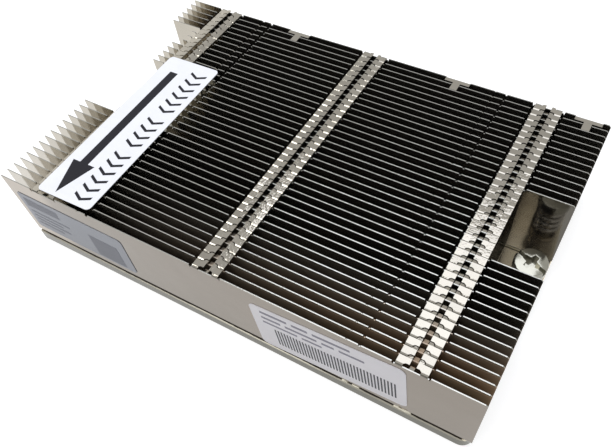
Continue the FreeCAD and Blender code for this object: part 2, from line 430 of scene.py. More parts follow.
@dataclass(frozen=True)
class MetalFinish:
    """A plain metal with a little wear: streaks along one axis, stains, a fine grain and a slow swell."""

    name: str
    colour: Colour
    roughness: float = 0.32
    roughness_spread: float = 0.10
    stain: float = 0.10
    streak: Point3 = (60.0, 60.0, 600.0)
    grain: float = 0.06
    wave: float = 0.0
    metallic: float = 1.0
    streak_scale: float = 3.0
    stain_scale: float = 55.0
    grain_scale: float = 2600.0
    wave_scale: float = 140.0
    streak_share: float = 0.4
    relief: float = 0.10

    def material(self) -> bpy.types.Material:
        """Makes the material."""
        material, nodes, surface = shader(self.name)
        place = nodes.add("ShaderNodeTexCoord").outputs["Object"]
        stretched = nodes.add("ShaderNodeMapping", {0: place, 3: self.streak}).outputs[0]
        streaks = nodes.noise(stretched, self.streak_scale, 4.0)
        stains_and_shadow_strips = nodes.noise(place, self.stain_scale, 3.0)
        fine = nodes.noise(place, self.grain_scale, 2.0)
        dark = tuple(c * (1 - self.stain) for c in self.colour)
        light = tuple(min(c * (1 + self.stain), 1.0) for c in self.colour)
        cloud = nodes.math("MULTIPLY_ADD", streaks, self.streak_share,
                           nodes.math("MULTIPLY", stains_and_shadow_strips, 1 - self.streak_share))
        tone = nodes.ramp(cloud, [(DARK_STOP, dark), (LIGHT_STOP, light)])
        half = self.roughness_spread / 2
        rough = nodes.between(streaks, low=self.roughness - half, high=self.roughness + half)
        height = nodes.math("MULTIPLY", fine, self.grain)
        if self.wave:
            height = nodes.math("MULTIPLY_ADD", nodes.noise(place, self.wave_scale, 1.0), self.wave, height)
        bump = nodes.add("ShaderNodeBump", {"Height": self.dented(nodes, place, height), "Strength": 1.0,
                                            "Distance": self.relief * MM})
        surface.inputs["Metallic"].default_value = self.metallic
        links = {"Base Color": self.tinted(nodes, place, tone), "Roughness": self.worn(nodes, rough),
                 "Normal": self.leant(nodes, place, bump.outputs[0]), **self.extra(nodes, place)}
        for name, socket in links.items():
            nodes.tree.links.new(socket, surface.inputs[name])
        return material

    def tinted(self, nodes: Nodes, place: Socket, tone: Socket) -> Socket:
        """The tone with what the piece adds to it: nothing on plain metal."""
        return tone

    def worn(self, nodes: Nodes, rough: Socket) -> Socket:
        """The roughness with what the piece adds to it: nothing on plain metal."""
        return rough

    def dented(self, nodes: Nodes, place: Socket, height: Socket) -> Socket:
        """The relief with what the piece adds to it: nothing on plain metal."""
        return height

    def leant(self, nodes: Nodes, place: Socket, facing: Socket) -> Socket:
        """The normal with what the piece adds to it: nothing on plain metal."""
        return facing

    def extra(self, nodes: Nodes, place: Socket) -> dict[str, Socket]:
        """Sockets for further inputs of the shader, by name: none on plain metal."""
        return {}


@dataclass(frozen=True)
class FinNickel(MetalFinish):
    """The plating of the fins: bright sheared edges, dented tabs, and painted light and shade: dark creases,
    a brown glow between the front fins, lighter left ends, a darker front face and a darker notch wall.
    """

    metallic: float = 0.96
    fin_spread: float = 0.12
    edge_colour: Colour = (0.33, 0.325, 0.30)
    edge_roughness: float = 0.24
    # Painted shade: the outside of each tab's crease is painted dark
    crease_shade_colour: Colour = (0.12, 0.114, 0.096)
    # Painted light: a brown glow painted low between the front fins, in place of light thrown between the
    # sheets
    gap_glow_colour: Colour = (0.34, 0.235, 0.145)
    gap_glow_start: float = 1.0
    gap_glow_reach: float = 20.0
    gap_glow_left: float = BLOCK_LEFT + 22.0
    gap_glow_right: float = BLOCK_RIGHT - 10.0
    # Painted light: the left ends of the fins are painted lighter, for light that reaches them through the
    # open ends
    end_light_gain: Colour = (1.55, 1.54, 1.52)
    end_light_span: Point2 = (BLOCK_LEFT + 12.0, BLOCK_LEFT + 16.0)
    # Painted shade: the front face of the front fin is painted darker and browner
    front_shade_gain: Colour = (0.72, 0.665, 0.63)
    front_shade_depth: float = 0.05
    notch_reach: float = 0.7
    notch_lean: float = 0.05
    # Painted shade: the wall behind the right notch darkens towards its right end, down to this share of its
    # tone, over this span
    notch_shade_gain: float = 0.45
    notch_shade_fade: float = 9.0
    mottle: float = 0.30
    mottle_scale: float = 1800.0

    def of_kind(self, nodes: Nodes, kind: FaceKind) -> Socket:
        """A factor that is 1 on faces of one kind."""
        stored = nodes.add("ShaderNodeAttribute", attribute_name="face_kind").outputs["Fac"]
        return nodes.math("COMPARE", stored, kind.value, 0.5)

    def notch_wall(self, nodes: Nodes, place: Socket) -> Socket:
        """A factor that is 1 on the free end of the fin behind the right notch.

        Args:
            nodes: The material's nodes.
            place: The point in the object's own frame.

        Returns:
            The factor.
        """
        x, y, z = nodes.axes(place)
        row = nodes.math("COMPARE", y, (BLOCK_FRONT + BEHIND_NOTCH * PITCH) * MM,
                         self.notch_reach * MM)
        free = nodes.math("GREATER_THAN", x, FinKind.NOTCHED.value[1] * MM)
        below = nodes.math("LESS_THAN", z, (TOP_Z - EDGE_ZONE) * MM)
        return nodes.math("MULTIPLY", nodes.math("MULTIPLY", row, free), below)

    def gap_glow_share(self, nodes: Nodes, place: Socket) -> Socket:
        """A factor for the brown glow painted between the front fins, a painted light that stands in for
        light thrown between the sheets.

        Args:
            nodes: The material's nodes.
            place: The point in the object's own frame.

        Returns:
            The factor.
        """
        x, y, z = nodes.axes(place)
        front = (BLOCK_FRONT + self.gap_glow_start) * MM
        fade = nodes.between(y, front, front + self.gap_glow_reach * MM, 1.0, 0.0,
                             interpolation_type="SMOOTHSTEP")
        behind = nodes.math("GREATER_THAN", y, front)
        below = nodes.math("LESS_THAN", z, (TOP_Z - EDGE_ZONE) * MM)
        across = nodes.between(x, self.gap_glow_left * MM, self.gap_glow_right * MM)
        return nodes.math("MULTIPLY", nodes.math("MULTIPLY", fade, behind),
                          nodes.math("MULTIPLY", below, across))

    def tinted(self, nodes: Nodes, place: Socket, tone: Socket) -> Socket:
        """Adds painted light on the free ends, painted shade on the front face, notch wall and creases, the
        tone of single fins and edges, and the painted brown glow.

        Args:
            nodes: The material's nodes.
            place: The point in the object's own frame.
            tone: The plain plating.

        Returns:
            The tone of the fins.
        """
        x, y, _ = nodes.axes(place)
        # Painted light on the left ends, painted shade on the front face
        end = nodes.between(x, self.end_light_span[0] * MM, self.end_light_span[1] * MM, 1.0, 0.0)
        front = nodes.math("LESS_THAN", y, (BLOCK_FRONT + self.front_shade_depth) * MM)
        for share, gain in ((end, self.end_light_gain), (front, self.front_shade_gain)):
            factor = nodes.blend(share, WHITE, gain)
            tone = nodes.add("ShaderNodeVectorMath", {0: tone, 1: factor}, operation="MULTIPLY").outputs[0]
        # Painted shade on the notch wall, darker towards its right end
        fade = nodes.between(x, (BLOCK_RIGHT - self.notch_shade_fade) * MM, BLOCK_RIGHT * MM, 0.0,
                             1.0 - self.notch_shade_gain)
        notch_painted_shade = nodes.math("MULTIPLY", self.notch_wall(nodes, place), fade)
        tone = nodes.scaled(tone, nodes.math("SUBTRACT", 1.0, notch_painted_shade))
        own = nodes.add("ShaderNodeAttribute", attribute_name="fin_shade").outputs["Fac"]
        tone = nodes.scaled(tone, nodes.between(own, low=1 - self.fin_spread))
        # Sheared edges keep their own tone; creases get painted shade
        for kind, colour in ((FaceKind.SHEARED, self.edge_colour), (FaceKind.CREASE, self.crease_shade_colour)):
            tone = nodes.blend(self.of_kind(nodes, kind), tone, colour)
        # Painted light: the brown glow between the front fins
        return nodes.blend(self.gap_glow_share(nodes, place), tone, self.gap_glow_colour)

    def worn(self, nodes: Nodes, rough: Socket) -> Socket:
        """Makes the sheared edges rougher than the sheet."""
        edge = nodes.math("MULTIPLY", self.of_kind(nodes, FaceKind.SHEARED), self.edge_roughness)
        return nodes.math("MAXIMUM", rough, edge)

    def dented(self, nodes: Nodes, place: Socket, height: Socket) -> Socket:
        """Adds fine dents to the faces that look up, such as the tabs.

        Args:
            nodes: The material's nodes.
            place: The point in the object's own frame.
            height: The plain relief.

        Returns:
            The relief with its dents.
        """
        up = nodes.axes(nodes.add("ShaderNodeNewGeometry").outputs["True Normal"])[2]
        top = nodes.math("GREATER_THAN", up, 0.5)
        dents = nodes.math("MULTIPLY", nodes.noise(place, self.mottle_scale, 1.0), top)
        return nodes.math("MULTIPLY_ADD", dents, self.mottle, height)

    def leant(self, nodes: Nodes, place: Socket, facing: Socket) -> Socket:
        """Leans the notch wall a little to the right, as if the sheet were bent.

        Args:
            nodes: The material's nodes.
            place: The point in the object's own frame.
            facing: The plain normal.

        Returns:
            The leant normal.
        """
        push = nodes.vector(nodes.math("MULTIPLY", self.notch_wall(nodes, place), self.notch_lean))
        total = nodes.add("ShaderNodeVectorMath", {0: facing, 1: push}, operation="ADD").outputs[0]
        return nodes.add("ShaderNodeVectorMath", {0: total}, operation="NORMALIZE").outputs[0]

    def extra(self, nodes: Nodes, place: Socket) -> dict[str, Socket]:
        """Makes the sheet less metallic where the brown glow is painted, so that the lamps light that painted
        glow.
        """
        share = self.gap_glow_share(nodes, place)
        return {"Metallic": nodes.math("MULTIPLY_ADD", share, -self.metallic, self.metallic)}


@dataclass(frozen=True)
class BaseNickel(MetalFinish):
    """The plating of the base in lit and shaded tones: a top painted lighter, a darker rim round the front
    and left, and sides darkened by painted shade.
    """

    # Painted shade: the sides of the base are painted dark below this height
    side_shade_colour: Colour = (0.105, 0.100, 0.076)
    side_shade_top: float = BASE_TOP_Z - 0.30
    rim_colour: Colour = (0.33, 0.31, 0.255)

    def tinted(self, nodes: Nodes, place: Socket, tone: Socket) -> Socket:
        """Adds the darker rim and the sides' painted shade to the top, which is painted lighter.

        Args:
            nodes: The material's nodes.
            place: The point in the object's own frame.
            tone: The plain plating.

        Returns:
            The tone of the base.
        """
        x, y, z = nodes.axes(place)
        # The rim round the front and left is darker than the top, whose lighter tone is painted light
        rim = nodes.math("MAXIMUM", nodes.math("LESS_THAN", y, BLOCK_FRONT * MM),
                         nodes.math("LESS_THAN", x, 0.0))
        # Painted shade on the sides
        side = nodes.math("LESS_THAN", z, self.side_shade_top * MM)
        return nodes.blend(side, nodes.blend(rim, tone, self.rim_colour), self.side_shade_colour)


@dataclass(frozen=True)
class PaperFinish:
    """A printed or bare label sheet, which can show the fins under it as faint ribs."""

    name: str
    colour: Colour
    roughness: float = 0.45
    rib_depth: float = 0.0
    metallic: float = 0.0
    specular: float = 0.35
    cloud: float = 0.045
    cloud_scale: float = 160.0
    fibre: float = 0.3
    fibre_scale: float = 1900.0
    bump: float = 0.25
    relief: float = 0.2

    def material(self) -> bpy.types.Material:
        """Makes the material."""
        material, nodes, surface = shader(self.name)
        place = nodes.add("ShaderNodeTexCoord").outputs["Object"]
        dark = tuple(c * (1 - self.cloud) for c in self.colour)
        tone = nodes.ramp(nodes.noise(place, self.cloud_scale, 3.0),
                          [(DARK_STOP, dark), (LIGHT_STOP, self.colour)])
        height = nodes.math("MULTIPLY", nodes.noise(place, self.fibre_scale, 3.0), self.fibre)
        if self.rib_depth:
            turn = nodes.math("MULTIPLY_ADD", nodes.axes(place)[1], 2 * math.pi / (PITCH * MM),
                              -2 * math.pi * (BLOCK_FRONT + SHEET / 2) / PITCH)
            height = nodes.math("MULTIPLY_ADD", nodes.math("COSINE", turn), self.rib_depth, height)
        bump = nodes.add("ShaderNodeBump", {"Height": height, "Strength": self.bump,
                                            "Distance": self.relief * MM})
        nodes.tree.links.new(tone, surface.inputs["Base Color"])
        nodes.tree.links.new(bump.outputs[0], surface.inputs["Normal"])
        surface.inputs["Roughness"].default_value = self.roughness
        surface.inputs["Metallic"].default_value = self.metallic
        surface.inputs["Specular IOR Level"].default_value = self.specular
        return material


@dataclass(frozen=True)
class Palette:
    """Every finish of the object."""

    fin_nickel: MetalFinish = FinNickel(
        "fin nickel", (0.315, 0.295, 0.255), 0.09, 0.05, 0.05, streak=(40.0, 40.0, 500.0), grain=0.03,
        wave=0.5)
    # Painted light: the base plating is painted lighter than it is, so that the fin behind the notch reflects
    # a brighter band
    base_nickel: MetalFinish = BaseNickel("base nickel", (0.70, 0.64, 0.52), 0.16, 0.08, 0.06, wave=0.2)
    solder: MetalFinish = MetalFinish(
        "solder", (0.56, 0.53, 0.44), 0.36, 0.14, 0.12, streak=(200.0, 200.0, 200.0), grain=0.15)
    # Painted shadow: the colour of the dark strips on the base's lip
    seam_shadow: PaperFinish = PaperFinish("painted seam shadow", (0.030, 0.022, 0.014), specular=0.25)
    screw_steel: MetalFinish = MetalFinish(
        "screw steel", (0.275, 0.268, 0.228), 0.16, 0.08, 0.05, streak=(300.0, 300.0, 80.0), grain=0.05)
    spring_steel: MetalFinish = MetalFinish("spring steel", (0.46, 0.44, 0.41), 0.20, 0.06, 0.05)
    ring_steel: MetalFinish = MetalFinish("ring steel", (0.30, 0.29, 0.27), 0.32, 0.08, 0.06)
    label_paper: PaperFinish = PaperFinish("label paper", (0.88, 0.89, 0.93), 0.42, rib_depth=0.5)
    label_ink: PaperFinish = PaperFinish("label ink", (0.011, 0.011, 0.016), 0.50, specular=0.15)
    label_foil: PaperFinish = PaperFinish("label foil", (0.225, 0.235, 0.262), 0.38, metallic=0.7)
    foil_print: PaperFinish = PaperFinish("foil print", (0.155, 0.162, 0.192))
    label_film: PaperFinish = PaperFinish("label film", (0.84, 0.82, 0.85), 0.40)
    film_print: PaperFinish = PaperFinish("film print", (0.03, 0.03, 0.04), specular=0.2)
    film_faint_print: PaperFinish = PaperFinish("film faint print", (0.20, 0.19, 0.24))


# Geometry node trees


def tree_with(name: str, inputs: Sequence[tuple[str, str]]) -> tuple[Nodes, Mapping[str, Socket]]:
    """Starts a geometry node tree with named inputs.

    Args:
        name: Name of the tree.
        inputs: Name and socket kind of each input after the geometry.

    Returns:
        The nodes of the tree and the sockets of its inputs, by name.
    """
    tree = bpy.data.node_groups.new(name, "GeometryNodeTree")
    tree.interface.new_socket("Geometry", in_out="INPUT", socket_type="NodeSocketGeometry")
    for label, kind in inputs:
        tree.interface.new_socket(label, in_out="INPUT", socket_type=f"NodeSocket{kind}")
    tree.interface.new_socket("Geometry", in_out="OUTPUT", socket_type="NodeSocketGeometry")
    nodes = Nodes(tree)
    return nodes, nodes.add("NodeGroupInput").outputs


def close_tree(nodes: Nodes, geometry: Socket, material: Socket) -> bpy.types.NodeTree:
    """Ends a tree with Realize Instances and Set Material.

    Args:
        nodes: The nodes of the tree.
        geometry: What the tree has made.
        material: The input that holds the material.

    Returns:
        The finished tree.
    """
    plain = nodes.add("GeometryNodeRealizeInstances", {0: geometry}).outputs[0]
    dressed = nodes.add("GeometryNodeSetMaterial", {"Geometry": plain, "Material": material}).outputs[0]
    nodes.add("NodeGroupOutput", {0: dressed})
    return nodes.tree


def run_tree(obj: bpy.types.Object, tree: bpy.types.NodeTree, values: dict) -> bpy.types.Object:
    """Runs a tree on an object and keeps the result as a plain mesh.

    Args:
        obj: The object that carries the starting mesh.
        tree: The tree.
        values: Value of each named input.

    Returns:
        The same object.
    """
    modifier = obj.modifiers.new("shape", "NODES")
    modifier.node_group = tree
    for item in tree.interface.items_tree:
        if item.in_out == "INPUT" and item.name in values:
            modifier[item.identifier] = values[item.name]
    return settle(obj)


def fin_row_tree() -> bpy.types.NodeTree:
    """A tree that repeats a fin backwards, a little wavy, with uneven tabs and a shade for each fin."""
    sway_scale, dip_scale = 45.0, 420.0
    free_reach, tab_zone = 12.0 * MM, 1.4 * MM
    nodes, given = tree_with("row of fins", [
        ("Count", "Int"), ("Pitch", "Float"), ("First", "Float"), ("Waviness", "Float"), ("Tab dip", "Float"),
        ("Still front", "Float"), ("Foot", "Float"), ("Top", "Float"), ("Seed", "Int"),
        ("Material", "Material")])
    line = nodes.add("GeometryNodeMeshLine", {
        "Count": given["Count"], "Start Location": nodes.vector(y=given["First"]),
        "Offset": nodes.vector(y=given["Pitch"])}).outputs[0]
    shade = nodes.add("FunctionNodeRandomValue", {"Seed": given["Seed"]}, data_type="FLOAT").outputs[1]
    marked = nodes.add("GeometryNodeStoreNamedAttribute", {
        "Geometry": line, "Name": "fin_shade", "Value": shade}, data_type="FLOAT", domain="POINT").outputs[0]
    fins = nodes.add("GeometryNodeInstanceOnPoints", {
        "Points": marked, "Instance": given["Geometry"]}).outputs[0]
    plain = nodes.add("GeometryNodeRealizeInstances", {0: fins}).outputs[0]
    place = nodes.add("GeometryNodeInputPosition").outputs[0]
    _, y, z = nodes.axes(place)
    lift = nodes.between(z, given["Foot"], given["Top"])
    free = nodes.between(y, given["Still front"], nodes.math("ADD", given["Still front"], free_reach))
    sway = nodes.math("SUBTRACT", nodes.noise(place, sway_scale, 1.0), 0.5)
    for factor in (given["Waviness"], lift, free):
        sway = nodes.math("MULTIPLY", sway, factor)
    high = nodes.math("GREATER_THAN", z, nodes.math("SUBTRACT", given["Top"], tab_zone))
    dip = nodes.math("SUBTRACT", nodes.noise(place, dip_scale, 0.0), 1.0)
    for factor in (given["Tab dip"], high):
        dip = nodes.math("MULTIPLY", dip, factor)
    bent = nodes.add("GeometryNodeSetPosition", {
        "Geometry": plain, "Offset": nodes.vector(y=sway, z=dip)}).outputs[0]
    return close_tree(nodes, bent, given["Material"])


def coil_tree() -> bpy.types.NodeTree:
    """A tree that winds a round wire into a coil with its two ends ground flat."""
    turn_steps, wire_sides = 28, 14
    nodes, given = tree_with("coil", [
        ("Turns", "Float"), ("Radius", "Float"), ("Wire", "Float"), ("Bottom", "Float"), ("Top", "Float"),
        ("Axis X", "Float"), ("Material", "Material")])
    bottom, top = given["Bottom"], given["Top"]
    half_wire = nodes.math("MULTIPLY", given["Wire"], 0.5)
    quarter_wire = nodes.math("MULTIPLY", given["Wire"], 0.25)
    rise = nodes.math("SUBTRACT", nodes.math("SUBTRACT", top, bottom), half_wire)
    spiral = nodes.add("GeometryNodeCurveSpiral", {
        "Resolution": turn_steps, "Rotations": given["Turns"], "Start Radius": given["Radius"],
        "End Radius": given["Radius"], "Height": rise}).outputs[0]
    section = nodes.add("GeometryNodeCurvePrimitiveCircle", {
        "Resolution": wire_sides, "Radius": half_wire}, mode="RADIUS").outputs[0]
    tube = nodes.add("GeometryNodeCurveToMesh", {
        "Curve": spiral, "Profile Curve": section, "Fill Caps": True}).outputs[0]
    shift = nodes.vector(given["Axis X"], z=nodes.math("ADD", bottom, quarter_wire))
    placed = nodes.add("GeometryNodeTransform", {"Geometry": tube, "Translation": shift}).outputs[0]
    x, y, z = nodes.axes(nodes.add("GeometryNodeInputPosition").outputs[0])
    held = nodes.math("MINIMUM", nodes.math("MAXIMUM", z, bottom), top)
    ground = nodes.add("GeometryNodeSetPosition", {
        "Geometry": placed, "Position": nodes.vector(x, y, held)}).outputs[0]
    return close_tree(nodes, ground, given["Material"])


def mark_row_tree() -> bpy.types.NodeTree:
    """A tree that repeats one printed mark along a line."""
    nodes, given = tree_with("row of marks", [
        ("Count", "Int"), ("Start", "Vector"), ("Step", "Vector"), ("Material", "Material")])
    line = nodes.add("GeometryNodeMeshLine", {
        "Count": given["Count"], "Start Location": given["Start"], "Offset": given["Step"]}).outputs[0]
    marks = nodes.add("GeometryNodeInstanceOnPoints", {
        "Points": line, "Instance": given["Geometry"]}).outputs[0]
    return close_tree(nodes, marks, given["Material"])


# Fins


@dataclass
class Fin:
    """One folded fin with its foot, zipper tabs, tongues and nicks, with its front face at Y = 0.

    Depths are measured down from the fin's top, and the hooks' and tongues' lengths backwards.
    """

    bend: float = 0.50
    tab_bend: float = 0.36
    tab_tilt: float = 20.0
    tab_flat: float = 0.56
    bend_steps: int = 6
    zip_half: float = 3.45
    root_half: float = 1.90
    hook_half: float = 0.72
    hook_knee: float = 1.45
    hook_reach: float = 0.72
    hook_gap: float = 0.18
    hook_fall: float = 0.17
    lap: float = -0.02
    foot_gap: float = 0.06
    window_depth: float = 0.55
    tongue_span: Point2 = (-0.62, 0.45)
    tongue_root: float = 0.05
    tongue_depth: float = 0.62
    tongue_length: float = 1.25
    tongue_drop: float = 0.35
    relief_width: float = 0.70
    relief_ledge: float = 0.30
    relief_depth: float = 0.50
    relief_foot: float = 1.00
    corner_cut: Point2 = (0.50, 0.50)
    nicks: tuple[tuple[float, float, float], ...] = (
        (-45.00, 0.90, 0.28), (-42.10, 0.80, 0.60), (26.95, 0.45, 0.15), (29.90, 0.60, 0.40))
    lock_half: float = 3.40
    lock_length: float = 1.55
    stem_half: float = 1.00
    stem_room: float = 0.10
    stem_slot: float = 0.50
    overlap: float = 0.02
    top_play: float = 0.001

    def zips(self, kind: FinKind) -> list[float]:
        """Middles of the zipper rows that a fin of one cut carries."""
        left, right = kind.value
        return [x for x in ZIP_CENTRES if left <= x - self.zip_half and x + self.zip_half <= right]

    @staticmethod
    def notch(x: float, mouth: float, floor: float, depth: float) -> tuple[float, list[Point2]]:
        """A cut in the top edge, with half its width at the mouth and at the floor."""
        return x, [(x - mouth, 0.0), (x - floor, depth), (x + floor, depth), (x + mouth, 0.0)]

    def wall_top(self, kind: FinKind, tabs: bool, slots: bool, locks: bool) -> list[Point2]:
        """Points of the top edge from left to right.

        Args:
            kind: Which cut the fin has.
            tabs: True where the zipper rows have folded tabs.
            slots: True where the rear fin's stems pass through.
            locks: True where lock tabs fold forwards.

        Returns:
            The points, in XZ.
        """
        left, right = kind.value
        runs: list[tuple[float, list[Point2]]] = []
        for centre in self.zips(kind):
            half: list[Point2] = []
            if centre + self.zip_half + self.relief_width < right or tabs:
                foot = (self.relief_width + self.relief_ledge) / 2
                half += [(self.zip_half + self.relief_width, 0.0),
                         (self.zip_half + foot, self.relief_foot),
                         (self.zip_half + self.relief_ledge, self.relief_depth),
                         (self.zip_half, self.relief_depth)]
            under = self.tab_drop() if tabs else 0.0
            half += [(self.zip_half, under), (self.root_half, under), (self.root_half, self.window_depth)]
            spots = [(centre - across, depth) for across, depth in half]
            mirrored = [(centre + across, depth) for across, depth in reversed(half)]
            runs.append((centre, [(x, depth) for x, depth in spots + mirrored if left < x < right]))
        for x, width, depth in self.nicks:
            if left + width < x < right - width:
                runs.append(self.notch(x, width / 2, width / 5, depth))
        for x in LOCK_CENTRES:
            if slots:
                half_slot = self.stem_half + self.stem_room
                runs.append(self.notch(x, half_slot, half_slot, self.stem_slot))
            if locks:
                runs.append(self.notch(x, self.lock_half, self.lock_half, self.bend))
        points: list[Point2] = [(left, TOP_Z)]
        for _, spots in sorted(runs):
            points += [(x, TOP_Z - depth) for x, depth in spots]
        if right > SCREW_X:
            points += [(right - self.corner_cut[0], TOP_Z), (right, TOP_Z - self.corner_cut[1])]
        else:
            points.append((right, TOP_Z))
        return points

    def fold(self, centre: Point2, radius: float, first: float, last: float,
             tail: Sequence[Point2]) -> list[Point2]:
        """Section of a strip that bends away from the wall and goes on flat, in YZ.

        Args:
            centre: Centre of the bend.
            radius: Its outer radius.
            first: Angle where the strip leaves the wall, in degrees.
            last: Angle where it is flat.
            tail: Outer and inner corner at the end of the flat part.

        Returns:
            The closed section.
        """
        outer = arc(centre, radius, first, last, self.bend_steps)
        inner = arc(centre, radius - SHEET, last, first, self.bend_steps)
        return [*outer, *tail, *inner]

    def tab_drop(self) -> float:
        """Depth under the tabs' tops where their fold leaves the wall."""
        tilt = math.radians(self.tab_tilt)
        slope = self.tab_flat - self.tab_bend * (1 - math.sin(tilt))
        return slope * math.tan(tilt) + self.tab_bend * math.cos(tilt)

    def tab_fold(self) -> list[Point2]:
        """Section of a tab's fold: a tight crease and a short slope up to the flat part, in YZ."""
        tail = [(self.tab_flat, TOP_Z), (self.tab_flat, TOP_Z - SHEET)]
        centre = (self.tab_bend, TOP_Z - self.tab_drop())
        return self.fold(centre, self.tab_bend, 180.0, 90.0 + self.tab_tilt, tail)

    def add_tabs(self, shells: Shells, kind: FinKind) -> None:
        """Adds the folded tabs, hooks and tongues of every zipper row on the fin.

        Args:
            shells: The fin's shells.
            kind: Which cut the fin has.
        """
        rear, top = PITCH + self.lap, TOP_Z - self.top_play
        fold = self.tab_fold()
        flat = [(self.tab_flat, TOP_Z - SHEET), (self.tab_flat, TOP_Z), (rear, TOP_Z), (rear, TOP_Z - SHEET)]
        high, low = TOP_Z - self.tongue_depth, TOP_Z - self.tongue_depth - self.tongue_drop
        tongue = [(self.tongue_root, high - SHEET), (self.tongue_root, high), (self.tongue_length, low),
                  (self.tongue_length, low - SHEET)]
        start, end = self.lap + self.hook_reach + self.hook_gap, rear + self.hook_reach
        root = [(self.root_half, self.tab_flat), (self.hook_knee, start), (self.hook_half, start),
                (self.hook_half, rear), (self.root_half, rear)]
        point = [(self.root_half, rear), (self.hook_half, rear), (self.hook_half, end), (self.hook_knee, end)]
        for centre in self.zips(kind):
            for side in (-1, 1):
                ends = sorted((centre + side * self.root_half, centre + side * self.zip_half))
                shells.prism(fold, "X", *ends, creased=self.bend_steps)
                shells.prism(flat, "X", *ends)
                shells.prism([(centre + side * a, b) for a, b in root], "Z", TOP_Z - SHEET, top)
                first = len(shells.points)
                shells.prism([(centre + side * a, b) for a, b in point], "Z", TOP_Z - SHEET, top)
                shells.slope_down(first, rear, self.hook_fall)
            shells.prism(tongue, "X", centre + self.tongue_span[0], centre + self.tongue_span[1])

    def add_foot(self, shells: Shells, kind: FinKind) -> None:
        """Adds the foot that folds backwards along the whole fin.

        Args:
            shells: The fin's shells.
            kind: Which cut the fin has.
        """
        rear = PITCH - self.foot_gap
        tail = [(rear, FOOT_Z), (rear, FOOT_Z + SHEET)]
        section = self.fold((self.bend, FOOT_Z + self.bend), self.bend, 180.0, 270.0, tail)
        shells.prism(section, "X", *kind.value)

    def add_locks(self, shells: Shells) -> None:
        """Adds the T-shaped tabs that the rear fin folds forwards.

        Args:
            shells: The fin's shells.
        """
        root, end = SHEET - self.lock_length, -2 * PITCH + SHEET + self.foot_gap
        tail = [(root, TOP_Z), (root, TOP_Z - SHEET)]
        fold = self.fold((SHEET - self.bend, TOP_Z - self.bend), self.bend, 0.0, 90.0, tail)
        for x in LOCK_CENTRES:
            left, right = x - self.stem_half, x + self.stem_half
            stem = [(left, end), (right, end), (right, root + self.overlap), (left, root + self.overlap)]
            shells.prism(fold, "X", x - self.lock_half, x + self.lock_half)
            shells.prism(stem, "Z", TOP_Z - SHEET, TOP_Z - self.top_play)

    def shape(self, name: str, kind: FinKind, slots: bool = False, rear: bool = False) -> bpy.types.Object:
        """Makes one fin.

        Args:
            name: Name of the piece that will carry it.
            kind: Which cut the fin has.
            slots: True for the fin that the lock stems pass through.
            rear: True for the last fin, which has lock tabs in place of a foot and zipper tabs.

        Returns:
            The object, with the fin's front face at Y = 0.
        """
        shells = Shells()
        left, right = kind.value
        low = FOOT_Z if rear else FOOT_Z + self.bend
        outline = [(left, low)] + self.wall_top(kind, not rear, slots, rear) + [(right, low)]
        shells.prism(outline, "Y", 0.0, SHEET, sheared=True)
        if rear:
            self.add_locks(shells)
        else:
            self.add_foot(shells, kind)
            self.add_tabs(shells, kind)
        return shells.object(name)


@dataclass
class FinBlock:
    """All fins, as rows of one cut each: name, cut, first fin, count and whether lock stems pass through."""

    fin: Fin = field(default_factory=Fin)
    waviness: float = 0.22
    tab_dip: float = 0.12
    still_fins: int = 3
    seed: int = 11
    rows: tuple[tuple[str, FinKind, int, int, bool], ...] = (
        ("fins_front", FinKind.FULL, 0, 15, False),
        ("fins_between_screws", FinKind.NOTCHED, 15, 9, False),
        ("fins_behind_notch", FinKind.SHALLOW_CUT, BEHIND_NOTCH, 5, False),
        ("fins_deep_cut", FinKind.DEEP_CUT, 29, 3, False),
        ("fins_rear", FinKind.FULL, 32, 4, False),
        ("fin_under_locks", FinKind.FULL, 36, 1, True),
    )

    def build(self, palette: Palette) -> list[bpy.types.Object]:
        """Makes every row and the rear fin.

        Args:
            palette: The finishes.

        Returns:
            The pieces.
        """
        nickel = palette.fin_nickel.material()
        tree = fin_row_tree()
        made = []
        for name, kind, first, count, slots in self.rows:
            obj = self.fin.shape(name, kind, slots)
            self._place(obj, tree, nickel, first, count)
            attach(obj, "heatsink")
            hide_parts(*[f"fin_{i + 1:02d}" for i in range(first, first + count)])
            made.append(obj)
        obj = self.fin.shape("rear_fin_with_locks", FinKind.FULL, rear=True)
        self._place(obj, tree, nickel, FIN_COUNT - 1, 1)
        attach(obj, "heatsink")
        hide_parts("rear_fin")
        made.append(obj)
        return made

    def _place(self, obj: bpy.types.Object, tree: bpy.types.NodeTree, nickel: bpy.types.Material,
               first: int, count: int) -> None:
        """Runs the row tree for one row.

        Args:
            obj: The piece, which holds one fin.
            tree: The row tree.
            nickel: The fins' material.
            first: Number of fins in front of the row.
            count: Number of fins in the row.
        """
        run_tree(obj, tree, {
            "Count": count, "Pitch": PITCH * MM, "First": (BLOCK_FRONT + first * PITCH) * MM,
            "Waviness": self.waviness * MM, "Tab dip": self.tab_dip * MM,
            "Still front": (BLOCK_FRONT + self.still_fins * PITCH) * MM, "Foot": FOOT_Z * MM,
            "Top": TOP_Z * MM, "Seed": self.seed + first, "Material": nickel})


# Base plate and solder


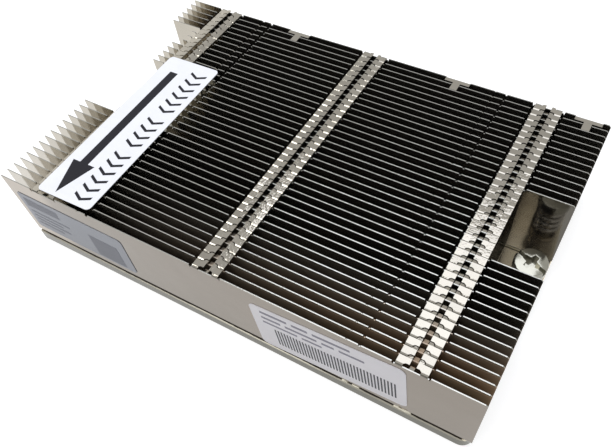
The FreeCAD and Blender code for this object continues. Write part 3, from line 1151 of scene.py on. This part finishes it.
@dataclass
class BasePlate:
    """The flat base with a bevelled upper edge, two screw holes and the pockets under them."""

    left_radius: float = 0.60
    right_radius: float = 3.00
    least_radius: float = 0.10
    bevel: float = 0.25
    lower_bevel: float = 0.15
    hole: float = 2.08
    pocket: float = 3.60
    web: float = 1.50

    def build(self, palette: Palette) -> bpy.types.Object:
        """Makes the plate.

        Args:
            palette: The finishes.

        Returns:
            The piece.
        """
        work = bmesh.new()

        def loop(points: Iterable[Point2], z: float) -> list[bmesh.types.BMVert]:
            """Adds a closed row of corners at one height.

            Args:
                points: The corners in plan.
                z: Their height.

            Returns:
                The corners.
            """
            verts = [work.verts.new((x * MM, y * MM, z * MM)) for x, y in points]
            for a, b in zip(verts, verts[1:] + verts[:1]):
                work.edges.new((a, b))
            return verts

        def plate_loop(inset: float, z: float) -> list[bmesh.types.BMVert]:
            """Adds the plate's outline, set in by a distance.

            Args:
                inset: How far it is set in.
                z: Its height.

            Returns:
                The corners.
            """
            low = (BLOCK_LEFT + inset, BASE_FRONT + inset)
            high = (BLOCK_RIGHT - inset, BASE_REAR - inset)
            radii = (max(self.left_radius - inset, self.least_radius), self.right_radius - inset)
            return loop(plan_outline(low, high, *radii), z)

        def wall(lower: Sequence[bmesh.types.BMVert], upper: Sequence[bmesh.types.BMVert]) -> None:
            """Joins two rows of corners.

            Args:
                lower: The row to start from.
                upper: The row to end at, with as many corners.
            """
            for i in range(len(lower)):
                j = (i + 1) % len(lower)
                work.faces.new((lower[i], lower[j], upper[j], upper[i]))

        def fill(loops: Sequence[Sequence[bmesh.types.BMVert]]) -> None:
            """Fills the face between an outline and its holes.

            Args:
                loops: The corners of the outline and then those of each hole.
            """
            edges = []
            for verts in loops:
                for a, b in zip(verts, list(verts[1:]) + [verts[0]]):
                    edges.append(work.edges.get((a, b)))
            bmesh.ops.triangle_fill(work, use_beauty=True, edges=edges)

        sides = [plate_loop(self.lower_bevel, 0.0), plate_loop(0.0, self.lower_bevel),
                 plate_loop(0.0, BASE_TOP_Z - self.bevel), plate_loop(self.bevel, BASE_TOP_Z)]
        for lower, upper in zip(sides, sides[1:]):
            wall(lower, upper)
        uppers, lowers = [], []
        for side in Side:
            centre = (side.x, 0.0)
            mouth = loop(ring(self.pocket, centre), 0.0)
            roof = loop(ring(self.pocket, centre), BASE_TOP_Z - self.web)
            foot = loop(ring(self.hole, centre), BASE_TOP_Z - self.web)
            top = loop(ring(self.hole, centre), BASE_TOP_Z)
            wall(mouth, roof)
            wall(roof, foot)
            wall(foot, top)
            lowers.append(mouth)
            uppers.append(top)
        fill([sides[-1], *uppers])
        fill([sides[0], *lowers])
        mesh = bpy.data.meshes.new("base")
        work.to_mesh(mesh)
        work.free()
        obj = finished("base_bevelled", mesh)
        dress(obj, palette.base_nickel.material())
        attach(obj, "heatsink")
        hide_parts("base_plate")
        return obj


@dataclass
class SolderSeam:
    """The seam under the front fin: dark strips of painted shadow on the lip of the base, and solder in three
    places.

    Each strip is given by its left end, right end, recess and height.
    """

    beads: tuple[tuple[float, float, float, float], ...] = (
        (38.2, 42.5, -0.30, 0.70), (27.8, 29.6, -0.28, 0.60), (25.1, 26.9, -0.26, 0.60))
    # Painted shadow: dark strips on the lip of the base, where the gap under the front fin's foot lies in
    # shade
    stains_and_shadow_strips: tuple[tuple[float, float, float, float], ...] = (
        (-68.5, 25.2, -0.20, 0.02), (26.8, 28.0, -0.22, 0.02), (29.4, 38.4, -0.22, 0.02),
        (42.3, 54.5, -0.26, 0.02))
    step: float = 0.30
    seed: int = 5
    depth: float = 0.9
    sink: float = 0.02
    least_rise: float = 0.05
    first_swell: float = 0.5
    least_swell: float = 0.15
    unevenness: float = 0.22
    taper_steps: float = 4.0
    taper_end: float = 0.05
    slope: float = 0.16
    toe: float = 0.06
    crest: float = 0.12

    def build(self, palette: Palette) -> list[bpy.types.Object]:
        """Makes one uneven strip for each bead and each strip of painted shadow.

        Args:
            palette: The finishes.

        Returns:
            The pieces.
        """
        draw = random.Random(self.seed)
        solder = palette.solder.material()
        dress(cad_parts["solder_layer"], solder)
        made = []
        for word, spans, material in (("solder_bead", self.beads, solder),
                                      ("seam_shadow_strip", self.stains_and_shadow_strips, palette.seam_shadow.material())):
            for number, span in enumerate(spans, 1):
                obj = self.strip(f"{word}_{number}", draw, *span)
                dress(obj, material)
                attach(obj, "heatsink")
                made.append(obj)
        return made

    def strip(self, name: str, draw: random.Random, start: float, end: float, recess: float,
              height: float) -> bpy.types.Object:
        """Makes one strip.

        Args:
            name: Name of the piece.
            draw: Source of the unevenness.
            start: Left end.
            end: Right end.
            recess: How far its face lies behind the front fin, or before it where negative.
            height: How far its fullest part climbs above the base.

        Returns:
            The object.
        """
        count = int((end - start) / self.step)
        corners = 5
        points: list[Point3] = []
        faces: list[tuple[int, ...]] = []
        swell = self.first_swell
        back, low = BLOCK_FRONT + self.depth, BASE_TOP_Z - self.sink
        for i in range(count + 1):
            swell = min(max(swell + draw.uniform(-self.unevenness, self.unevenness), self.least_swell), 1.0)
            taper = min(1.0, (count - i) / self.taper_steps, i / self.taper_steps)
            share = swell * max(taper, self.taper_end)
            x = start + i * self.step
            top = BASE_TOP_Z + self.least_rise + height * share
            out = BLOCK_FRONT + recess + self.slope * (1 - share)
            points += [(x, back, low), (x, out + self.toe, low), (x, out, (BASE_TOP_Z + top) / 2),
                       (x, out + self.crest, top), (x, back, top)]
        for i in range(count):
            a, b = corners * i, corners * (i + 1)
            for k in range(corners):
                n = (k + 1) % corners
                faces.append((a + k, a + n, b + n, b + k))
        faces.append(tuple(range(corners)))
        faces.append(tuple(corners * count + k for k in reversed(range(corners))))
        mesh = bpy.data.meshes.new("bead")
        mesh.from_pydata([tuple(c * MM for c in p) for p in points], [], faces)
        return finished(name, mesh, sharp_degrees=60.0)


# Screws, springs and rings


@dataclass
class CaptiveScrew:
    """A screw with a slot and a cross in its head, the coil spring round it and the ring under the base."""

    head_radius: float = 4.00
    head_top: float = limits("screw_right")[1].z
    head_thickness: float = 2.60
    head_edge: float = 0.35
    head_foot: float = 0.15
    head_round: float = 0.30
    sides: int = 56
    shank: float = 2.00
    tip_bevel: float = 0.25
    thread_pitch: float = 0.35
    thread_width: float = 0.24
    thread_depth: float = 0.16
    tip: float = limits("screw_right")[0].z
    groove: float = 1.55
    ring_low: float = limits("retaining_ring_right")[0].z
    ring_high: float = limits("retaining_ring_right")[1].z
    ring_gap: float = 0.03
    ring_outer: float = (limits("retaining_ring_right")[1].x - limits("retaining_ring_right")[0].x) / 2
    ring_mouth: float = 1.35
    ring_steps: int = 48
    nose_steps: int = 60
    nose_angles: tuple[float, float, float] = (90.0, -20.0, 200.0)
    nose_half: float = 14.0
    nose_flank: float = 8.0
    nose_play: float = 0.05
    hollow_play: float = 0.75
    slot_width: float = 1.00
    slot_depth: float = 1.30
    cross_width: float = 1.25
    cross_length: float = 4.20
    cross_depth: float = 1.60
    cross_flare: float = 0.22
    cutter_excess: float = 0.5
    drive_angle: float = -23.0
    spring_bottom: float = limits("spring_right")[0].z
    spring_top: float = limits("spring_right")[1].z
    spring_radius: float = 3.15
    spring_wire: float = 1.00
    spring_turns: float = 4.25
    travel: float = 4.00
    tree: bpy.types.NodeTree | None = None

    def profile(self) -> list[Point2]:
        """Radius and height of the turned screw, from tip to head, with thread grooves above the tip."""
        shank, low, high = self.shank, self.ring_low - self.ring_gap, self.ring_high + self.ring_gap
        points = [(0.0, self.tip), (shank - self.tip_bevel, self.tip), (shank, self.tip + self.tip_bevel)]
        z = self.tip + self.thread_pitch
        while z + self.thread_pitch < low:
            points += [(shank, z), (shank - self.thread_depth, z + self.thread_width / 2),
                       (shank, z + self.thread_width)]
            z += self.thread_pitch
        edge, rim, top = self.head_edge, self.head_radius, self.head_top
        foot = top - self.head_thickness
        points += [
            (shank, low), (self.groove, low), (self.groove, high), (shank, high), (shank, foot),
            (rim - self.head_foot, foot), (rim, foot + self.head_foot), (rim, top - edge),
            (rim - edge * self.head_round, top - edge * self.head_round), (rim - edge, top), (0.0, top)]
        return points

    def drive_cutters(self, x: float) -> list[bpy.types.Object]:
        """Makes the solids that the slot and the cross recess take out of the head.

        Args:
            x: Where the screw stands along X.

        Returns:
            The two solids.
        """
        reach, half = self.head_radius + self.cutter_excess, self.slot_width / 2
        slot = [(-reach, -half), (reach, -half), (reach, half), (-reach, half)]
        long, side = self.cross_length / 2, self.cross_width / 2
        flare = side + self.cross_flare
        star: list[Point2] = []
        for quarter in range(4):
            star += turned([(long, -side), (long, side), (flare, flare)], 90.0 * quarter)
        cutters = []
        for outline, depth in ((slot, self.slot_depth), (star, self.cross_depth)):
            shells = Shells()
            shells.prism(turned(outline, self.drive_angle, (x, 0.0)), "Z", self.head_top - depth,
                         self.head_top + self.cutter_excess)
            cutters.append(shells.object("drive_cutter"))
        return cutters

    def build_screw(self, side: Side, steel: bpy.types.Material) -> bpy.types.Object:
        """Makes one screw.

        Args:
            side: Which of the two it is.
            steel: Its material.

        Returns:
            The piece.
        """
        shells = Shells()
        shells.lathe(self.profile(), (side.x, 0.0), self.sides)
        obj = shells.object(f"screw_turned_{side.word}")
        for cutter in self.drive_cutters(side.x):
            cut = obj.modifiers.new("drive", "BOOLEAN")
            cut.operation = "DIFFERENCE"
            cut.solver = "EXACT"
            cut.object = cutter
            settle(obj)
            bpy.data.objects.remove(cutter)
        dress(obj, steel)
        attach(obj, f"screw_{side.word}")
        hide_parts(f"screw_{side.word}")
        return obj

    def build_spring(self, side: Side, steel: bpy.types.Material) -> bpy.types.Object:
        """Makes one coil spring.

        Args:
            side: Which of the two it is.
            steel: Its material.

        Returns:
            The piece.
        """
        mesh = bpy.data.meshes.new("coil")
        obj = bpy.data.objects.new(f"spring_coil_{side.word}", mesh)
        bpy.context.scene.collection.objects.link(obj)
        run_tree(obj, self.tree, {
            "Turns": self.spring_turns, "Radius": self.spring_radius * MM, "Wire": self.spring_wire * MM,
            "Bottom": self.spring_bottom * MM, "Top": self.spring_top * MM, "Axis X": side.x * MM,
            "Material": steel})
        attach(obj, "heatsink")
        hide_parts(f"spring_{side.word}")
        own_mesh(obj)
        return obj

    def build_ring(self, side: Side, steel: bpy.types.Material) -> bpy.types.Object:
        """Makes one retaining ring: three inner noses on an open ring.

        Args:
            side: Which of the two it is.
            steel: Its material.

        Returns:
            The piece.
        """
        mouth = math.degrees(math.asin(self.ring_mouth / self.ring_outer))
        start, end = -90.0 + mouth, 270.0 - mouth
        outer = arc((side.x, 0.0), self.ring_outer, start, end, self.ring_steps)
        nose, hollow = self.groove + self.nose_play, self.groove + self.hollow_play
        inner = []
        for k in range(self.nose_steps + 1):
            angle = end + (start - end) * k / self.nose_steps
            near = min(abs((angle - a + 180) % 360 - 180) for a in self.nose_angles)
            share = min(max((near - self.nose_half) / self.nose_flank, 0.0), 1.0)
            radius = nose + (hollow - nose) * share
            turn = math.radians(angle)
            inner.append((side.x + radius * math.cos(turn), radius * math.sin(turn)))
        shells = Shells()
        shells.prism(outer + inner, "Z", self.ring_low, self.ring_high)
        obj = shells.object(f"ring_snapped_{side.word}")
        dress(obj, steel)
        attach(obj, f"ring_{side.word}")
        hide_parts(f"retaining_ring_{side.word}")
        return obj

    def build(self, palette: Palette) -> list[bpy.types.Object]:
        """Makes the pieces of both screws.

        Args:
            palette: The finishes.

        Returns:
            The pieces.
        """
        self.tree = coil_tree()
        screw, spring = palette.screw_steel.material(), palette.spring_steel.material()
        clip = palette.ring_steel.material()
        made = []
        for side in Side:
            made += [self.build_screw(side, screw), self.build_spring(side, spring),
                     self.build_ring(side, clip)]
        return made


# Labels


@dataclass
class ArrowLabel:
    """The paper label on the fins with its printed arrow and a row of chevrons beside it."""

    turn: float = 1.2
    ink: float = 0.03
    chevron_u: float = 4.00
    chevron_width: float = 5.00
    chevron_stroke: float = 0.85
    chevron_rise: float = 1.30
    chevron_step: float = 2.95
    groups: tuple[tuple[float, int], ...] = ((-26.0, 6), (-6.5, 4), (7.2, 6))

    def build(self, palette: Palette) -> list[bpy.types.Object]:
        """Dresses the sheet and the arrow and prints the chevrons.

        Args:
            palette: The finishes.

        Returns:
            The pieces.
        """
        ink = palette.label_ink.material()
        dress(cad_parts["arrow_label"], palette.label_paper.material())
        dress(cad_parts["arrow_mark"], ink)
        tree = mark_row_tree()
        low, high = limits("arrow_label")
        middle = ((low.x + high.x) / 2, (low.y + high.y) / 2)
        half, rise = self.chevron_width / 2, self.chevron_rise
        tip = self.chevron_rise + self.chevron_stroke
        shape = turned([(-half, rise), (0.0, 0.0), (half, rise), (half, tip), (0.0, self.chevron_stroke),
                        (-half, tip)], self.turn)
        step, = turned([(0.0, self.chevron_step)], self.turn)
        made = []
        for number, (v, count) in enumerate(self.groups, 1):
            shells = Shells()
            shells.prism(shape, "Z", 0.0, self.ink)
            obj = shells.object(f"label_chevrons_{number}")
            start, = turned([(self.chevron_u, v)], self.turn, middle)
            run_tree(obj, tree, {"Count": count, "Start": Vector((*start, high.z)) * MM,
                                 "Step": Vector((*step, 0.0)) * MM, "Material": ink})
            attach(obj, "heatsink")
            made.append(obj)
        return made


@dataclass
class FrontLabels:
    """The foil label and the pale film label on the front fin, with plain bars and fields for print.

    A field is given by its middle and half its sizes, and a line of print by its middle's height, half its
    thickness and the lengths of its runs.
    """

    film_turn: float = 4.1
    foil_turn: float = -1.0
    foil_height: float = 14.0
    foil_corner: float = 1.2
    foil_steps: int = 5
    foil_inset: float = 0.25
    ink: float = 0.02
    bar_count: int = 38
    bar_pitch: float = 0.80
    first_bar: tuple[float, float, float, float] = (-13.4, -2.6, 0.19, 3.4)
    line_start: float = -16.2
    line_gap: float = 1.2
    lines: tuple[tuple[float, float, tuple[float, ...]], ...] = (
        (6.6, 0.42, (7.0, 4.0, 9.0)), (4.5, 0.38, (5.0, 8.0, 3.0, 6.0)), (2.6, 0.34, (9.0, 5.0)))
    foil_print: tuple[tuple[float, float, float, float], ...] = (
        (-10.0, 4.6, 5.6, 1.6), (-9.0, 1.0, 6.6, 0.35), (-10.5, -0.6, 5.1, 0.35), (-9.6, -2.2, 6.0, 0.35),
        (-11.2, -3.8, 4.4, 0.35), (9.5, -1.2, 4.6, 4.2))

    def foil_sheet(self, palette: Palette) -> bpy.types.Object:
        """Makes the foil label, a little lower than its solid and slightly askew.

        Args:
            palette: The finishes.

        Returns:
            The piece, which takes the place of the node.
        """
        low, high = limits("foil_label")
        outline = plan_outline((0.0, -self.foil_height), (high.x - low.x, 0.0), self.foil_corner,
                               self.foil_corner, self.foil_steps)
        shells = Shells()
        shells.prism(turned(outline, self.foil_turn, (low.x + self.foil_inset, high.z)), "Y", low.y, high.y)
        obj = shells.object("foil_sheet")
        dress(obj, palette.label_foil.material())
        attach(obj, "heatsink")
        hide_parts("foil_label")
        return obj

    def marks(self, name: str, label: str, turn: float, fields: Iterable[tuple[float, float, float, float]],
              material: bpy.types.Material, slot: str) -> bpy.types.Object:
        """Prints plain fields on an upright label.

        Args:
            name: Name of the piece.
            label: The CAD node of the label.
            turn: Turn of the label in its own plane, in degrees.
            fields: Middle and half sizes of each field in the label's own frame.
            material: The print's material.
            slot: Not used.

        Returns:
            The piece.
        """
        low, high = limits(label)
        centre = ((low.x + high.x) / 2, (low.z + high.z) / 2)
        shells = Shells()
        for u, v, half_u, half_v in fields:
            corners = [(u - half_u, v - half_v), (u + half_u, v - half_v), (u + half_u, v + half_v),
                       (u - half_u, v + half_v)]
            shells.prism(turned(corners, turn, centre), "Y", low.y - self.ink, low.y)
        obj = shells.object(name)
        dress(obj, material)
        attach(obj, "heatsink")
        return obj

    def build(self, palette: Palette) -> list[bpy.types.Object]:
        """Dresses both labels and prints their fields.

        Args:
            palette: The finishes.

        Returns:
            The pieces.
        """
        dress(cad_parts["bar_label"], palette.label_film.material())
        u, *rest = self.first_bar
        bars = [(u + self.bar_pitch * i, *rest) for i in range(self.bar_count)]
        lines = []
        for v, half_height, runs in self.lines:
            u = self.line_start
            for length in runs:
                lines.append((u + length / 2, v, length / 2, half_height))
                u += length + self.line_gap
        bold, faint = palette.film_print.material(), palette.film_faint_print.material()
        foil = palette.foil_print.material()
        return [
            self.marks("film_bars", "bar_label", self.film_turn, bars, bold, "label_film"),
            self.marks("film_lines", "bar_label", self.film_turn, lines, faint, "label_film"),
            self.foil_sheet(palette),
            self.marks("foil_fields", "foil_label", self.foil_turn, self.foil_print, foil, "label_foil"),
        ]


# Camera and light


@dataclass(frozen=True)
class Lamp:
    """A rectangular soft lamp: place, the point that it faces and size in metres, and power in watts."""

    name: str
    place: Point3
    aim: Point3
    size: Point2
    power: float
    colour: Colour = WHITE

    def hang(self) -> None:
        """Makes the lamp."""
        data = bpy.data.lights.new(self.name, "AREA")
        data.shape = "RECTANGLE"
        data.size, data.size_y = self.size
        data.energy = self.power
        data.color = self.colour
        obj = bpy.data.objects.new(self.name, data)
        bpy.context.scene.collection.objects.link(obj)
        obj.location = self.place
        obj.rotation_euler = (Vector(self.aim) - Vector(self.place)).to_track_quat("-Z", "Y").to_euler()


@dataclass
class Studio:
    """A pale floor and backdrop, soft lamps and the camera."""

    lamps: tuple[Lamp, ...] = (
        Lamp("soft box above", (-0.02, 0.115, 0.50), (0.02, 0.0, 0.02), (0.34, 0.44), 1.13,
             (0.94, 0.98, 1.09)),
        Lamp("soft box left", (-0.28, -0.065, 0.50), (-0.28, -0.065, 0.0), (0.18, 0.24), 0.74),
        Lamp("soft box front", (-0.35, -0.60, 0.45), (0.0, 0.0, 0.02), (0.50, 0.50), 1.00))
    camera_place: Point3 = (55.82, -87.42, TOP_Z + 104.84)
    camera_turn: Point3 = (33.203, 3.200, 29.444)
    lens: float = 34.954
    shift: Point2 = (-0.0380, 0.0868)
    world_grey: float = 0.80
    world_strength: float = 0.56
    floor_grey: float = 0.55
    floor_glow: float = 0.72
    floor_size: float = 6.0
    floor_gap: float = 0.02
    floor_roughness: float = 0.9
    floor_specular: float = 0.1
    film_width: float = 36.0
    nearest: float = 0.001

    def background(self, nodes: Nodes) -> Socket:
        """A factor that is 1 for rays that should meet the plain background."""
        path = nodes.add("ShaderNodeLightPath").outputs
        seen = nodes.math("MAXIMUM", path["Is Camera Ray"], path["Is Glossy Ray"])
        return nodes.math("MAXIMUM", seen, path["Is Transmission Ray"])

    def build_world(self) -> None:
        """Lights the scene evenly and shows white behind the object."""
        world = bpy.data.worlds.new("studio")
        bpy.context.scene.world = world
        world.use_nodes = True
        world.node_tree.nodes.clear()
        nodes = Nodes(world.node_tree)
        fill = nodes.add("ShaderNodeBackground", {0: (*[self.world_grey] * 3, 1.0), 1: self.world_strength})
        white = nodes.add("ShaderNodeBackground", {0: (*WHITE, 1.0), 1: 1.0})
        mixed = nodes.add("ShaderNodeMixShader", {
            0: self.background(nodes), 1: fill.outputs[0], 2: white.outputs[0]})
        nodes.add("ShaderNodeOutputWorld", {0: mixed.outputs[0]})

    def build_floor(self) -> None:
        """Lays a pale floor just under the base; it keeps the object's shadow and is clear from below."""
        bpy.ops.mesh.primitive_plane_add(size=self.floor_size, location=(0.0, 0.0, -self.floor_gap * MM))
        floor = bpy.context.object
        floor.name = "floor"
        material, nodes, surface = shader("pale floor")
        surface.inputs["Base Color"].default_value = (*[self.floor_grey] * 3, 1.0)
        surface.inputs["Roughness"].default_value = self.floor_roughness
        surface.inputs["Specular IOR Level"].default_value = self.floor_specular
        surface.inputs["Emission Color"].default_value = (*WHITE, 1.0)
        glow = nodes.math("MULTIPLY", self.background(nodes), self.floor_glow)
        nodes.tree.links.new(glow, surface.inputs["Emission Strength"])
        behind = nodes.add("ShaderNodeNewGeometry").outputs["Backfacing"]
        clear = nodes.add("ShaderNodeBsdfTransparent").outputs[0]
        both = nodes.add("ShaderNodeMixShader", {0: behind, 1: surface.outputs[0], 2: clear}).outputs[0]
        output = next(node for node in nodes.tree.nodes if node.type == "OUTPUT_MATERIAL")
        nodes.tree.links.new(both, output.inputs["Surface"])
        dress(floor, material)

    def build_camera(self) -> None:
        """Sets the camera where the photograph was taken."""
        data = bpy.data.cameras.new("camera")
        data.sensor_width = self.film_width
        data.lens = self.lens
        data.shift_x, data.shift_y = self.shift
        data.clip_start = self.nearest
        camera = bpy.data.objects.new("camera", data)
        bpy.context.scene.collection.objects.link(camera)
        camera.location = Vector(self.camera_place) * MM
        camera.rotation_euler = [math.radians(a) for a in self.camera_turn]
        bpy.context.scene.camera = camera

    def build(self) -> None:
        """Makes the whole studio."""
        self.build_world()
        self.build_floor()
        for lamp in self.lamps:
            lamp.hang()
        self.build_camera()
        bpy.context.scene.view_settings.view_transform = "Standard"


def main() -> None:
    """Builds the heatsink piece by piece and writes how large it came out."""
    logging.basicConfig(level=logging.INFO, format="%(name)s: %(message)s")
    palette = Palette()
    makers = (FinBlock(), BasePlate(), SolderSeam(), CaptiveScrew(), ArrowLabel(), FrontLabels())
    for maker in makers:
        made = maker.build(palette)
        for piece in made if isinstance(made, list) else [made]:
            log.info("%s: %d faces", piece.name, len(piece.data.polygons))
    Studio().build()


if __name__ == "__main__":
    main()
